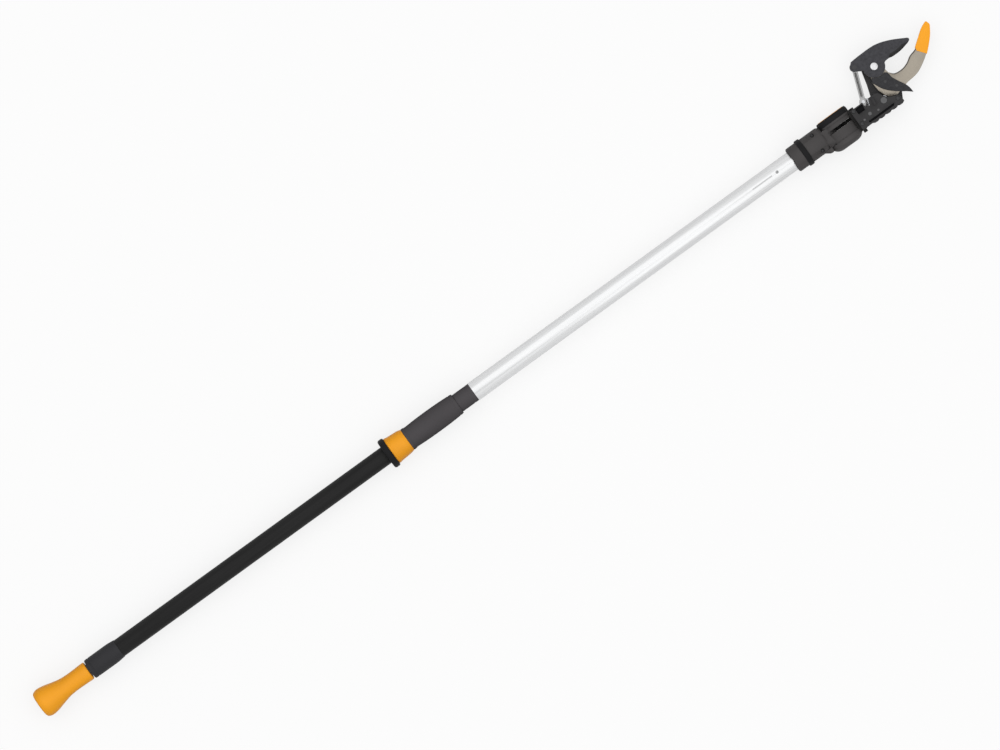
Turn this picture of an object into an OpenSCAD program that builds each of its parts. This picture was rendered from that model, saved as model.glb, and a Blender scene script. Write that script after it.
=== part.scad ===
// Tree pruner on a two-part pole. The pole lies along +X, the lock button looks to +Y,
// and the jaws swing in the XY plane. The origin is the centre of the butt end.

/* [Pole] */
// Length of the end knob
knob_len = 85; // [70:1:110]
// Largest diameter of the end knob
knob_d = 43; // [36:1:50]
// Diameter at the waist of the end knob
knob_waist_d = 27; // [24:1:32]
// Diameter of the flat face on the butt of the knob
butt_face_d = 24; // [16:1:30]
// Gap between the knob and the end ferrule
knob_gap = 2; // [1:0.5:5]
// How far the knob pulls out
knob_pull = 50; // [20:1:60]
// Length of the end ferrule
ferrule_len = 51; // [40:1:80]
// Outer diameter of the end ferrule
ferrule_d = 30.4; // [29.5:0.1:36]
// Thickness of the end ferrule's closed end
ferrule_end = 8; // [5:1:14]
// Diameter of the stem that carries the knob
stem_d = 18; // [10:1:20]
// Depth of the stem in the knob
stem_seat = 51; // [30:1:60]
// Length of stem left in the tube when the knob is pulled out
stem_keep = 15; // [10:1:40]
// Outer diameter of the dark lower tube
dark_d = 27; // [25:0.5:28]
// Wall of the dark lower tube
dark_wall = 1.6; // [1:0.1:2.5]
// Bare length of the dark tube between ferrule and grip
dark_bare = 465; // [200:1:800]
// Outer diameter of the silver upper tube
silver_d = 29; // [28.6:0.1:34]
// Wall of the silver upper tube
silver_wall = 1.2; // [1:0.1:1.6]
// Bare length of the silver tube
silver_bare = 556; // [200:1:900]
// Length of the black nose of the joint ferrule
nose_len = 28; // [20:1:45]
// Outer diameter of the joint ferrule's nose
nose_d = 28; // [27.8:0.1:29]
// Depth of the joint ferrule's spigot in the silver tube
spigot_len = 40; // [20:1:80]

/* [Grip] */
// Thickness of the grip flange
flange_len = 9; // [5:1:15]
// Diameter of the grip flange
flange_d = 46; // [44:1:60]
// Length of the orange grip ring
ring_len = 28; // [20:1:45]
// Diameter of the grip ring at the flange
ring_d = 41; // [38:1:46]
// Diameter of the grip ring at the sleeve
ring_end_d = 36; // [35:1:44]
// Length of the grip sleeve
sleeve_len = 87; // [60:1:140]
// Diameter of the grip sleeve at its ends
sleeve_d = 33; // [32.5:0.5:40]
// How far the sleeve bulges out at its middle
sleeve_bulge = 1; // [0:0.1:3]
// Outer diameter of the sliding bush in the grip
bush_d = 31; // [30.4:0.1:32]
// How far the bush reaches into the sleeve
bush_reach = 14; // [8:1:30]
// Length of the cord carriage in the tube
carriage_len = 24; // [16:1:40]
// Diameter of the carriage's cross pin
carriage_pin_d = 5; // [3:0.5:7]
// Diameter of the cords
cord_d = 3.5; // [2:0.5:4]

/* [Tilt joint] */
// Outer diameter of the socket on the silver tube
socket_d = 38; // [36:0.5:40]
// Length of the socket
socket_len = 54.5; // [50:0.5:90]
// Depth of the silver tube in the socket
socket_depth = 34; // [20:1:45]
// Diameter of the collar round the socket
collar_d = 42; // [42:1:46]
// Width of the collar
collar_w = 8; // [5:1:14]
// Start of the collar from the socket's mouth
collar_at = 16; // [5:1:30]
// Length of the slot in the silver tube below its rivet
tube_slot_len = 33; // [20:1:60]
// Width of the slot in the silver tube
tube_slot_w = 1.6; // [1:0.2:3]
// Radius of the tilt drum at the end of the housing
drum_end_r = 22.5; // [20:0.5:23]
// Top of the tilt drum above the pole axis
tilt_top = 8.7; // [8:0.1:10]
// Bottom of the tilt drum below the pole axis
tilt_bottom = 17.5; // [16:0.5:20]
// Half width of the tongue that carries the tilt drum
tongue_half = 15.5; // [12:0.5:15.5]
// Radius of the two ears of the yoke
ear_r = 24; // [23.5:0.5:26]
// Thickness of the upper ear
ear_top_t = 3; // [2.5:0.1:4]
// Thickness of the lower ear
ear_low_t = 6.2; // [5:0.1:9]
// Height of the domed cap under the lower ear
cap_h = 6; // [4:0.5:9]
// Diameter of the cap's flat bottom
cap_d = 24; // [20:1:36]
// Diameter of the tilt post in the upper ear
tilt_post_d = 10; // [9:0.5:12]
// Diameter of the tilt bolt in the lower ear
tilt_bolt_d = 8; // [6:0.5:10]
// Diameter of the bezel round the lock button
bezel_d = 50; // [48.4:0.2:50.4]
// Height of the bezel
bezel_h = 9; // [7:0.5:10]
// Diameter of the lock button
button_d = 43.6; // [36:0.2:44]
// Height of the lock button
button_h = 6; // [5:0.5:8]
// How far the lock button presses in
button_travel = 3; // [1:0.5:3.2]
// Diameter of the lock stem under the button
lock_stem_d = 6; // [4:0.5:7]

/* [Frame] */
// Pivot bolt of the blade from the tilt axis, along the pole
pivot_x = 90.6; // [89:0.2:96]
// Pivot bolt of the blade above the pole axis
pivot_y = 40.6; // [38:0.2:46]
// Blade pivot to the crank centre, along the pole
link_dx = 17.6; // [16:0.2:19]
// Crank centre below the blade pivot
link_dy = 46.7; // [45:0.1:49]
// Crank arm, along the pole
arm_dx = 23.3; // [22:0.1:24]
// Crank arm, across the pole
arm_dy = 15.2; // [14:0.1:16]
// Thickness of the front cheek
front_t = 3; // [2:0.5:5]
// Thickness of the rear cheek
rear_t = 4; // [3:0.5:6]
// Height of the crank space in front of the jaw plane
front_gap = 11.6; // [11.4:0.1:14]
// Depth of the crank space behind the jaw plane
rear_gap = 9; // [8.8:0.1:11]
// Diameter of the blade's pivot bolt
bolt_d = 8; // [6:0.5:9]
// Diameter of the pivot bolt's head
bolt_head_d = 11; // [10:0.5:14]
// Diameter of the link pins
pin_d = 5; // [4:0.5:6]
// Diameter of the crank axle
axle_d = 6; // [5:0.5:7]
// Diameter of the drum axle
drum_axle_d = 5; // [4:0.5:6]

/* [Jaws] */
// Thickness of the blade and the jaw guard
blade_t = 4.6; // [3:0.1:5]
// Thickness of the hook
hook_t = 4.8; // [4.2:0.1:5]
// Radius of the blade's hub
hub_r = 16; // [14:0.5:17]
// Width of the link bar
link_w = 7; // [6:0.5:8]
// Thickness of the link bar
link_t = 4; // [3:0.1:4.1]
// How far the jaws open from the stored pose, in degrees
open_deg = 22; // [10:1:24]
// How far the jaws close from the stored pose, in degrees
close_deg = 48; // [40:1:50]
// Distance from the pivot at which the hook's orange tip starts
tip_from = 64.5; // [64:0.5:75]
// Wall of the orange tip over the hook
tip_wall = 0.9; // [0.6:0.1:1.5]

/* [Gear] */
// Gear module
gear_m = 1; // [0.9:0.05:1.05]
// Teeth of the pinion
pinion_n = 12; // [12:1:13]
// Teeth of the crank gear's full circle
crank_n = 42; // [40:1:43]
// Pressure angle of the teeth
press_deg = 25; // [22:1:26]
// Free play between the teeth
backlash = 0.16; // [0.1:0.02:0.3]
// Thickness of the gears
gear_t = 3.3; // [2:0.1:3.4]
// Radius at which the cord winds on its drum
wind_r = 10; // [9:0.5:10.5]
// Thickness of the drum's flanges
drum_flange_t = 1; // [0.8:0.1:1.4]
// Width of the drum's groove
groove_w = 5; // [4.2:0.1:5.2]
// Turns of the return spring
spring_turns = 2; // [1:0.5:2]
// Thickness of the return spring's band
spring_t = 0.6; // [0.4:0.1:0.7]

/* [Hidden] */
$fn = 64;
// Running fit of a pin in its bore, on the radius
run = 0.05;
// Free gap between faces that pass each other
free = 0.3;
// Fit of a fixed piece in its seat
seat = 0.02;
// Gap that keeps moving pieces well apart
wide = 0.5;
// Overlap of cutting solids past the faces that they cut
cut = 1;

// Places along the pole
ferrule_x = knob_len + knob_gap;
ferrule_x2 = ferrule_x + ferrule_len;
dark_x = ferrule_x + ferrule_end;
flange_x = ferrule_x2 + dark_bare;
ring_x = flange_x + flange_len;
sleeve_x = ring_x + ring_len;
nose_x = sleeve_x + sleeve_len;
silver_x = nose_x + nose_len;
socket_x = silver_x + silver_bare;
socket_x2 = socket_x + socket_len;
tilt_gap = 1.5;
tilt_x = socket_x2 + ear_r + tilt_gap;

// Pole and grip fits
dark_r = dark_d / 2;
dark_ri = dark_r - dark_wall;
silver_r = silver_d / 2;
silver_ri = silver_r - silver_wall;
cord_r = cord_d / 2;
cord_hole_r = cord_r + free;
bush_r = bush_d / 2;
sleeve_bore_r = nose_d / 2 + free;
// Web of the joint ferrule between the two tubes
joint_step = 3;
carriage_x = ring_x + seat;
carriage_x2 = carriage_x + carriage_len;
carriage_pin_x = (carriage_x + carriage_x2) / 2;
stem_x = knob_len - stem_seat;
stem_x2 = knob_len + knob_gap + ferrule_end + knob_pull + stem_keep;
grip_per_rad = wind_r * crank_n / pinion_n;
grip_down = grip_per_rad * close_deg * PI / 180;
grip_up = grip_per_rad * open_deg * PI / 180;

// Tube rivet and the cord guide that it holds
rivet_d = 4.4;
rivet_head_h = 0.6;
rivet_back = 28;
rivet_sink = 3;
rivet_x = socket_x - rivet_back;
tube_slot_gap = 9;
guide_len = 10;

// Tilt joint heights
ear_top_y = tilt_top + free;
bezel_y = ear_top_y + ear_top_t;
bezel_r = bezel_d / 2;
bezel_ri = button_d / 2 + free;
button_y = bezel_y + button_travel + wide;
ear_low_y = -tilt_bottom - free;
ear_low_y2 = ear_low_y - ear_low_t;
slot_play = 0.75;
slot_top = cord_r + slot_play;
slot_low = -slot_top;
slit_deg = 141;
slit_pocket_r = 6;
web_deg = 20;
web_r = 7;
post_r = tilt_post_d / 2;
tilt_bolt_r = tilt_bolt_d / 2;
tilt_head_r = tilt_bolt_r + 3;
tilt_head_h = 2;

// Yoke block
bridge_half = 8;
bridge_r = drum_end_r + wide;
block_from = 26;
block_t = 6;
cheek_lap = 1;
block_x = tilt_x + block_from;
block_x2 = block_x + block_t;
cheek_x = block_x - cheek_lap;
block_low = -23.5;
block_top = 9;
// Shoulder at the socket's end, and the gusset that fairs it into the cap
shoulder = 3.5;
shoulder_drop = 2.2;
gusset_len = 12;
gusset_half = 10;
// Stop lug under the yoke block
lug_len = 5;
lug_drop = 4.5;
lug_half = 5;

// Jaw and crank centres
pivot = [tilt_x + pivot_x, pivot_y];
pin_a = pivot + [-arm_dx, arm_dy];
crank_c = pivot - [link_dx, link_dy];
pin_b = pin_a - [link_dx, link_dy];
gear_c = gear_m * (crank_n + pinion_n) / 2;
mesh_turn = asin((crank_c[1] + wind_r) / gear_c);
drum_c = crank_c - gear_c * [cos(mesh_turn), sin(mesh_turn)];
bolt_r = bolt_d / 2;
pin_r = pin_d / 2;
axle_r = axle_d / 2;
drum_axle_r = drum_axle_d / 2;

// Layers across the jaw plane
layer_gap = 0.2;
gear_gap = 0.4;
blade_z = 0.15;
blade_z2 = blade_z + blade_t;
link_z = -(hook_t + link_t) / 2;
arm_z2 = -hook_t - layer_gap;
arm_z = -rear_gap + 2 * free;
drum_z = gear_gap;
drum_z2 = drum_z + groove_w + 2 * drum_flange_t;
groove_z = drum_z + drum_flange_t + groove_w / 2;
gear_z2 = front_gap - gear_gap;
gear_z = gear_z2 - gear_t;
rear_z = -rear_gap - rear_t;
front_z2 = front_gap + front_t;

// Cord from the tilt axis to its drum
head_cord_gap = cord_r + free;
cord_run = drum_c[0] - tilt_x;
cord_rise = atan2(groove_z, cord_run);

// Drum and its spring
core_r = wind_r - cord_r;
flange_r = core_r + cord_d;
drum_wall = 1.2;
arbor_wall = 0.9;
pocket_r = core_r - drum_wall;
arbor_r = drum_axle_r + arbor_wall;
floor_t = 2;
pocket_z2 = drum_z2 - floor_t;

// Screws that clamp the two halves of the housing
housing_screw_x = socket_x + socket_depth + 8;
housing_screw_y = silver_r - 1.5;
housing_spots = [[housing_screw_x, -housing_screw_y], [housing_screw_x, housing_screw_y]];
housing_head_z = socket_d / 2 - 11;

// Screws and rivets of the frame
screw_r = 1.5;
screw_head_r = 2.8;
screw_head_h = 1.6;
block_screws = [[block_x + block_t / 2, -15], [block_x + block_t / 2, 6]];
frame_post = crank_c + [18, -9.5];
frame_post_r = 3.5;
stud_y = -12.6;
stud_first = 35;
stud_step = 24;
stud_count = 2;
stud_r = 1.6;
stud_h = 0.7;
stud_spots = [for (i = [0 : stud_count - 1]) [tilt_x + stud_first + stud_step * i, stud_y]];
jaw_rivets = [pivot + [0.5, -26.5], pivot + [10.5, -40.5]];
jaw_rivet_r = 2;
boss_r = 5;
foot_bumps = 5;
foot_steps = 6;
foot_len = 53;
foot_deep = 2.2;
pivot_boss_r = 11;
hook_hub_r = 9;
nut_d = 13;
nut_h = 4;
bolt_head_h = 2.5;
rivet_cap_r = pin_r + 1;
rivet_cap_h = 0.8;
guard_gap = 0.5;

// Stand a solid made along +Z on the pole axis at x
module along_x(x) {
    translate([x, 0, 0]) rotate([0, 90, 0]) children();
}

// Stand a solid made along +Z on the tilt axis at height y
module along_y(y) {
    translate([tilt_x, y, 0]) rotate([-90, 0, 0]) children();
}

// Put a solid at a point of the jaw plane
module at(p, z = 0) {
    translate([p[0], p[1], z]) children();
}

// Ring with a bore, along +Z
module ring(ro, ri, h) {
    difference() {
        cylinder(r = ro, h = h);
        translate([0, 0, -cut]) cylinder(r = ri, h = h + 2 * cut);
    }
}

// Plate of an outline, from z1 to z2
module plate(points, z1, z2) {
    translate([0, 0, z1]) linear_extrude(z2 - z1) polygon(points);
}

// Hole through the jaw plane from z1 to z2
module hole(p, r, z1, z2) {
    at(p, z1) cylinder(r = r, h = z2 - z1);
}

// Smooth curve through points, with steps on each stretch
function spline(p, steps) = [
    for (i = [0 : len(p) - 2])
        for (k = [0 : steps - (i == len(p) - 2 ? 0 : 1)])
            let (t = k / steps, a = p[max(i - 1, 0)], b = p[i], c = p[i + 1], d = p[min(i + 2, len(p) - 1)])
            0.5 * (2 * b + (c - a) * t + (2 * a - 5 * b + 4 * c - d) * t * t
                + (3 * b - a - 3 * c + d) * t * t * t)];

// Arc of points round a centre
function arc(c, r, a1, a2, steps) = [
    for (k = [0 : steps]) let (a = a1 + (a2 - a1) * k / steps) c + r * [cos(a), sin(a)]];

// Points moved by an offset
function moved(p, by) = [for (q = p) q + by];

// Involute angle of a pressure angle, in degrees
function inv(a) = tan(a) * 180 / PI - a;

// Half angle of a gear tooth at radius r
function half_tooth(n, r) =
    let (rp = gear_m * n / 2, rb = rp * cos(press_deg))
    90 / n - backlash / 4 / rp * 180 / PI + inv(press_deg) - (r > rb ? inv(acos(rb / r)) : 0);

// Radii along a tooth's flank, from root to tip
function flank_radii(n) =
    let (rp = gear_m * n / 2, rb = max(rp * cos(press_deg), rp - 1.25 * gear_m))
    [rp - 1.25 * gear_m, rb + 0.02, rp, rp + gear_m / 2, rp + 0.9 * gear_m];

// Outline of the teeth from first to last, the first one centred on angle a
function teeth(n, a, first, last) = [
    for (i = [first : last])
        let (c = a + 360 / n * i, radii = flank_radii(n))
        for (s = [-1, 1])
            for (k = [0 : len(radii) - 1])
                let (r = s < 0 ? radii[k] : radii[len(radii) - 1 - k], b = c + s * half_tooth(n, r))
                [r * cos(b), r * sin(b)]];

// Outlines in the jaw plane, from the blade pivot
hook_outline = moved(concat(
    [[-9, 0], [-15, -18.5]],
    spline([[-14.5, -31.5], [-8.3, -45], [4, -51.2]], 5),
    spline([[26, -45.8], [42.5, -44], [55, -38.9], [70.5, -28.9], [86.5, -13.7], [95, -2.9], [98.4, 2.6]], 6),
    spline([[96.6, 8.4], [86.5, 3.9], [70.5, -7.7], [61, -14.4], [50.5, -17.3], [41, -23], [30.5, -26],
        [18.5, -24.8], [12, -18.5]], 6),
    [[9, 0]]), pivot);
// Steel that the tip leaves bare, so that its back end crosses the hook squarely
tip_bare = moved([[54, -6.6], [78, -37.5], [60, -60], [30, -60], [40, -15]], pivot);
blade_outline = moved(concat(
    [[-28, 11], [-27, 19.5], [-23, 24]],
    spline([[-10, 24.8], [16.5, 24.5], [37.5, 18.3], [58, 7.6], [62.4, 4.8], [63, 2.4], [61.6, 0.6]], 5),
    spline([[58.5, -0.8], [47, -3.4], [39, -4.2], [30, -4], [24, -2.9], [17, -3.5], [12, -6.7]], 5),
    [[-8, -8], [-15, 3]]), pivot);
guard_r = hub_r + guard_gap;
guard_outline = moved(concat(
    arc([0, 0], guard_r, -138, -66, 10),
    spline([[10.4, -17.6], [11.2, -21.5], [11.8, -27], [16, -36], [23, -50], [24.5, -61.5]], 5),
    spline([[17.2, -55.3], [4.6, -46.2], [-7.8, -33.4], [-15.3, -17.6]], 5)), pivot);
// Scalloped lower edge of both frame plates, from the nose back to the yoke
frame_foot = [for (k = [0 : foot_steps * foot_bumps])
    [6 - foot_len * k / foot_steps / foot_bumps, -63.7 - foot_deep * abs(sin(180 * k / foot_steps))]];
front_outline = concat(
    [[cheek_x, block_low], [cheek_x, block_top]],
    moved(concat([[-24, -31.6], [-19, -32.6]],
        spline([[-15.5, -39], [-9, -47], [4, -52.5]], 5),
        frame_foot), pivot));
rear_outline = concat(
    [[cheek_x, block_low], [cheek_x, block_top]],
    moved(concat([[-27.5, -31.6], [-22, -15], [-17.5, 3]],
        spline([[-15, 12], [-4, 15.5], [9, 12], [13, 0]], 5),
        [[9, -16], [18, -34], [16, -46]], frame_foot), pivot));

module end_knob() {
    r = knob_d / 2;
    w = knob_waist_d / 2;
    end_r = dark_r + 0.6;
    profile = concat([[0, 0], [butt_face_d / 2, 0]],
        spline([[r - 2.5, 3], [r, 12], [r - 3, 26], [w + 0.8, 44], [w, 56], [end_r, knob_len - 3]], 5),
        [[end_r - 1, knob_len], [stem_d / 2 + seat, knob_len], [stem_d / 2 + seat, stem_x],
        [0, stem_x]]);
    color("orange") along_x(0) rotate_extrude() polygon(profile);
}

module knob_stem() {
    color("dimgray") along_x(stem_x + seat)
        cylinder(d = stem_d, h = stem_x2 - stem_x - seat);
}

module knob_cord() {
    color("black") along_x(stem_x2) cylinder(r = cord_r, h = carriage_x - stem_x2 - free);
}

module end_ferrule() {
    ro = ferrule_d / 2;
    taper = 10;
    profile = [[stem_d / 2 + run, 0], [ro - 0.8, 0], [ro, 2], [ro, ferrule_len - taper],
        [dark_r + 0.5, ferrule_len], [dark_r + seat, ferrule_len], [dark_r + seat, ferrule_end],
        [stem_d / 2 + run, ferrule_end]];
    color([0.13, 0.13, 0.13]) along_x(ferrule_x) rotate_extrude() polygon(profile);
}

module dark_tube() {
    len = silver_x - joint_step - dark_x;
    slot_w = carriage_pin_d + 2 * free;
    slot_x = carriage_pin_x - grip_down - slot_w;
    slot_len = grip_down + grip_up + 2 * slot_w;
    color([0.16, 0.16, 0.16]) difference() {
        along_x(dark_x) ring(dark_r, dark_ri, len);
        translate([slot_x, -slot_w / 2, -dark_r - cut]) cube([slot_len, slot_w, dark_wall + 2 * cut]);
    }
}

module joint_ferrule() {
    spigot_r = silver_ri - seat;
    bore_r = cord_hole_r + 4;
    nose_r = nose_d / 2;
    profile = [[dark_r + seat, 0], [nose_r - 0.3, 0], [nose_r, 1], [nose_r, nose_len],
        [spigot_r, nose_len], [spigot_r, nose_len + spigot_len], [bore_r, nose_len + spigot_len],
        [bore_r, nose_len - joint_step + seat], [dark_r + seat, nose_len - joint_step + seat]];
    color([0.15, 0.15, 0.15]) along_x(nose_x) rotate_extrude() polygon(profile);
}

module silver_tube() {
    color([0.85, 0.86, 0.87]) difference() {
        along_x(silver_x) ring(silver_r, silver_ri, silver_bare + socket_depth);
        translate([rivet_x, 0, -silver_d]) cylinder(d = rivet_d + 2 * seat, h = 2 * silver_d);
        translate([rivet_x - tube_slot_gap - tube_slot_len, -tube_slot_w / 2, 0])
            cube([tube_slot_len, tube_slot_w, silver_d]);
    }
}

module tube_rivets() {
    color("gray") for (side = [0, 180])
        translate([rivet_x, 0, 0]) rotate([side, 0, 0])
            translate([0, 0, silver_ri - rivet_sink])
                cylinder(d = rivet_d, h = silver_wall + rivet_sink + rivet_head_h);
}

module cord_guide() {
    color("dimgray") difference() {
        along_x(rivet_x - guide_len / 2) ring(silver_ri - seat, cord_hole_r, guide_len);
        for (side = [0, 180])
            translate([rivet_x, 0, 0]) rotate([side, 0, 0])
                translate([0, 0, silver_ri - rivet_sink - seat])
                    cylinder(d = rivet_d + 2 * seat, h = rivet_sink + cut);
    }
}

module grip_flange() {
    r = flange_d / 2;
    edge = 1.5;
    profile = [[bush_r + seat, 0], [r - edge, 0], [r, edge], [r, flange_len - edge], [r - edge, flange_len],
        [bush_r + seat, flange_len]];
    color([0.12, 0.12, 0.12]) along_x(flange_x) rotate_extrude() polygon(profile);
}

module grip_ring() {
    r = ring_d / 2;
    end_r = ring_end_d / 2;
    profile = [[bush_r + seat, 0], [r - 0.8, 0], [r, 1.5], [end_r + 0.8, ring_len - 5], [end_r - 1, ring_len],
        [bush_r + seat, ring_len]];
    color("orange") along_x(ring_x) rotate_extrude() polygon(profile);
}

module grip_sleeve() {
    r = sleeve_d / 2;
    profile = concat([[bush_r + seat, 0], [r + 0.8, 0], [r + 0.8, 4]],
        spline([[r, 8], [r + sleeve_bulge, sleeve_len / 2], [r, sleeve_len - 6]], 5),
        [[r - 0.8, sleeve_len], [sleeve_bore_r, sleeve_len], [sleeve_bore_r, bush_reach + seat],
        [bush_r + seat, bush_reach + seat]]);
    color([0.3, 0.29, 0.3]) along_x(sleeve_x) rotate_extrude() polygon(profile);
}

module grip_bush() {
    color("dimgray") difference() {
        along_x(flange_x) ring(bush_r, dark_r + run, flange_len + ring_len + bush_reach);
        translate([carriage_pin_x, 0, -bush_d]) cylinder(d = carriage_pin_d + 2 * seat, h = bush_d);
    }
}

module cord_carriage() {
    color("gray") difference() {
        along_x(carriage_x) cylinder(r = dark_ri - free, h = carriage_len);
        translate([carriage_pin_x, 0, -dark_d]) cylinder(d = carriage_pin_d + 2 * seat, h = dark_d);
    }
}

module carriage_pin() {
    reach = bush_r - free;
    color("silver") translate([carriage_pin_x, 0, -reach]) cylinder(d = carriage_pin_d, h = reach);
}

module pull_cord() {
    color("black") along_x(carriage_x2) cylinder(r = cord_r, h = tilt_x - head_cord_gap - carriage_x2);
}

module housing() {
    mouth = 1.5;
    difference() {
        union() {
            along_x(socket_x) cylinder(r1 = socket_d / 2 - mouth, r2 = socket_d / 2, h = mouth);
            along_x(socket_x + mouth) cylinder(d = socket_d, h = socket_len - mouth - shoulder);
            along_x(socket_x2 - shoulder)
                cylinder(r1 = socket_d / 2, r2 = socket_d / 2 - shoulder_drop, h = shoulder);
            plate([[socket_x2 - gusset_len, -tilt_bottom], [socket_x2 - gusset_len, -socket_d / 2 + 1],
                [socket_x2 - gusset_len / 3, ear_low_y2 + 0.6], [socket_x2 - 1.4, ear_low_y2],
                [socket_x2, ear_low_y2 + 0.6], [socket_x2, -tilt_bottom + cut]], -gusset_half, gusset_half);
            intersection() {
                translate([socket_x2 - cut, -tilt_bottom, -tongue_half])
                    cube([tilt_x - socket_x2 + cut, tilt_bottom + tilt_top, 2 * tongue_half]);
                along_x(socket_x2 - cut) cylinder(r = socket_d / 2 + 0.8, h = tilt_x - socket_x2 + cut);
            }
            along_y(-tilt_bottom) cylinder(r = drum_end_r, h = tilt_bottom + tilt_top);
        }
        along_x(socket_x - cut) cylinder(r = silver_r + seat, h = socket_depth + seat + cut);
        along_x(socket_x) cylinder(r = cord_hole_r + 2, h = tilt_x - slit_pocket_r - socket_x + cut);
        along_y(slot_low) linear_extrude(slot_top - slot_low)
            polygon(concat([[0, 0]], arc([0, 0], 2 * drum_end_r, -slit_deg, slit_deg, 6)));
        along_y(slot_low) cylinder(r = slit_pocket_r, h = slot_top - slot_low);
        along_y(0) cylinder(r = post_r + seat, h = 2 * tilt_top);
        along_y(-2 * tilt_bottom) cylinder(r = tilt_bolt_r + seat, h = 2 * tilt_bottom);
        for (p = housing_spots) {
            hole(p, screw_r + seat, -socket_d, socket_d);
            hole(p, screw_head_r + seat, housing_head_z, socket_d);
            hole(p, screw_head_r + seat, -socket_d, -housing_head_z);
        }
    }
}

module half_space(side) {
    size = 4 * socket_d;
    translate([socket_x - cut, -size / 2, side > 0 ? 0 : -size]) cube([size, size, size]);
}

module housing_front() {
    color([0.2, 0.2, 0.2]) intersection() {
        housing();
        half_space(1);
    }
}

module housing_rear() {
    color([0.2, 0.2, 0.2]) intersection() {
        housing();
        half_space(-1);
    }
}

module housing_screws() {
    color("silver") for (p = housing_spots) {
        hole(p, screw_r, -housing_head_z, housing_head_z);
        hole(p, screw_head_r, housing_head_z, housing_head_z + screw_head_h);
        hole(p, screw_head_r, -housing_head_z - screw_head_h, -housing_head_z);
    }
}

module socket_collar() {
    r = collar_d / 2;
    edge = 1.2;
    profile = [[socket_d / 2 + seat, 0], [r - edge, 0], [r, edge], [r, collar_w - edge], [r - edge, collar_w],
        [socket_d / 2 + seat, collar_w]];
    color([0.1, 0.1, 0.1]) along_x(socket_x + collar_at) rotate_extrude() polygon(profile);
}

module tilt_post() {
    color("gray") along_y(slot_top) ring(post_r, lock_stem_d / 2 + run, bezel_y - slot_top - layer_gap);
}

module tilt_bolt() {
    color("gray") {
        along_y(ear_low_y2) cylinder(r = tilt_bolt_r, h = slot_low - 2 - ear_low_y2);
        along_y(ear_low_y2 - tilt_head_h) cylinder(r = tilt_head_r, h = tilt_head_h);
    }
}

// Path of the cord from the tilt axis to its drum
module on_cord_path() {
    translate([tilt_x, 0, 0]) rotate([0, 90 - cord_rise, 0]) children();
}

// Web of the yoke in the drum's slit, beside the cord
module yoke_web() {
    difference() {
        along_y(slot_low + free) linear_extrude(slot_top - slot_low - 2 * free)
            polygon(concat(arc([0, 0], web_r, -web_deg, web_deg, 6),
                arc([0, 0], bridge_r + cut, web_deg, -web_deg, 6)));
        on_cord_path() cylinder(r = cord_r + free, h = 2 * ear_r);
    }
}

// Ears, bridge and block of the yoke
module yoke_frame() {
    difference() {
        union() {
            along_y(ear_top_y) cylinder(r = ear_r, h = ear_top_t);
            along_y(ear_low_y2) cylinder(r = ear_r, h = ear_low_t);
            translate([tilt_x, ear_low_y2, -bridge_half])
                cube([block_x2 - tilt_x, bezel_y - ear_low_y2, 2 * bridge_half]);
            translate([block_x, block_low, -rear_gap])
                cube([block_t, block_top - block_low, rear_gap + front_gap]);
            translate([block_x, block_low - lug_drop, -lug_half])
                cube([lug_len, lug_drop + cut, 2 * lug_half]);
        }
        along_y(ear_low_y) cylinder(r = bridge_r, h = ear_top_y - ear_low_y);
        along_y(0) cylinder(r = post_r + run, h = 2 * ear_r);
        along_y(-2 * ear_r) cylinder(r = tilt_bolt_r + run, h = 2 * ear_r);
        on_cord_path() cylinder(r = cord_r + 1.5, h = 2 * ear_r);
        for (p = block_screws)
            hole(p, screw_r + seat, -2 * rear_gap, 2 * front_gap);
    }
}

module yoke() {
    color([0.1, 0.1, 0.1]) {
        yoke_frame();
        yoke_web();
    }
}

module tilt_cap() {
    profile = concat([[0, 0], [cap_d / 2, 0]],
        spline([[ear_r - 4, 2], [ear_r - 0.6, cap_h - 1]], 4), [[ear_r, cap_h], [tilt_head_r + free, cap_h],
        [tilt_head_r + free, cap_h - tilt_head_h - free], [0, cap_h - tilt_head_h - free]]);
    color([0.08, 0.08, 0.08]) along_y(ear_low_y2 - cap_h) rotate_extrude() polygon(profile);
}

module bezel() {
    lip = 1.5;
    profile = [[bezel_ri, 0], [bezel_r, 0], [bezel_r, bezel_h - lip - 1], [bezel_r - lip, bezel_h],
        [bezel_ri, bezel_h]];
    color([0.1, 0.1, 0.1]) along_y(bezel_y) rotate_extrude() polygon(profile);
}

module button_spring() {
    t = 0.7;
    rise = button_y - bezel_y - t;
    profile = [[15, 0], [16, 0], [11, rise + t], [10, rise + t]];
    color("silver") along_y(bezel_y) rotate_extrude() polygon(profile);
}

module lock_button() {
    r = button_d / 2;
    rim = 2.4;
    dish = 0.8;
    profile = [[0, 0], [r, 0], [r, button_h - 1.2], [r - 1, button_h], [r - rim, button_h],
        [r - rim - 0.8, button_h - dish], [0, button_h - dish]];
    color("orange") along_y(button_y) rotate_extrude() polygon(profile);
}

module lock_stem() {
    color("silver") along_y(slot_top + button_travel + wide)
        cylinder(d = lock_stem_d, h = button_y - slot_top - button_travel - wide);
}

module front_cheek() {
    color([0.09, 0.09, 0.09]) difference() {
        plate(front_outline, front_gap, front_z2);
        hole(crank_c, axle_r + seat, 0, 2 * front_z2);
        hole(drum_c, drum_axle_r + seat, 0, 2 * front_z2);
        for (p = concat(block_screws, [frame_post]))
            hole(p, screw_r + seat, 0, 2 * front_z2);
        for (p = stud_spots)
            hole(p, stud_r + seat, 0, 2 * front_z2);
    }
}

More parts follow.
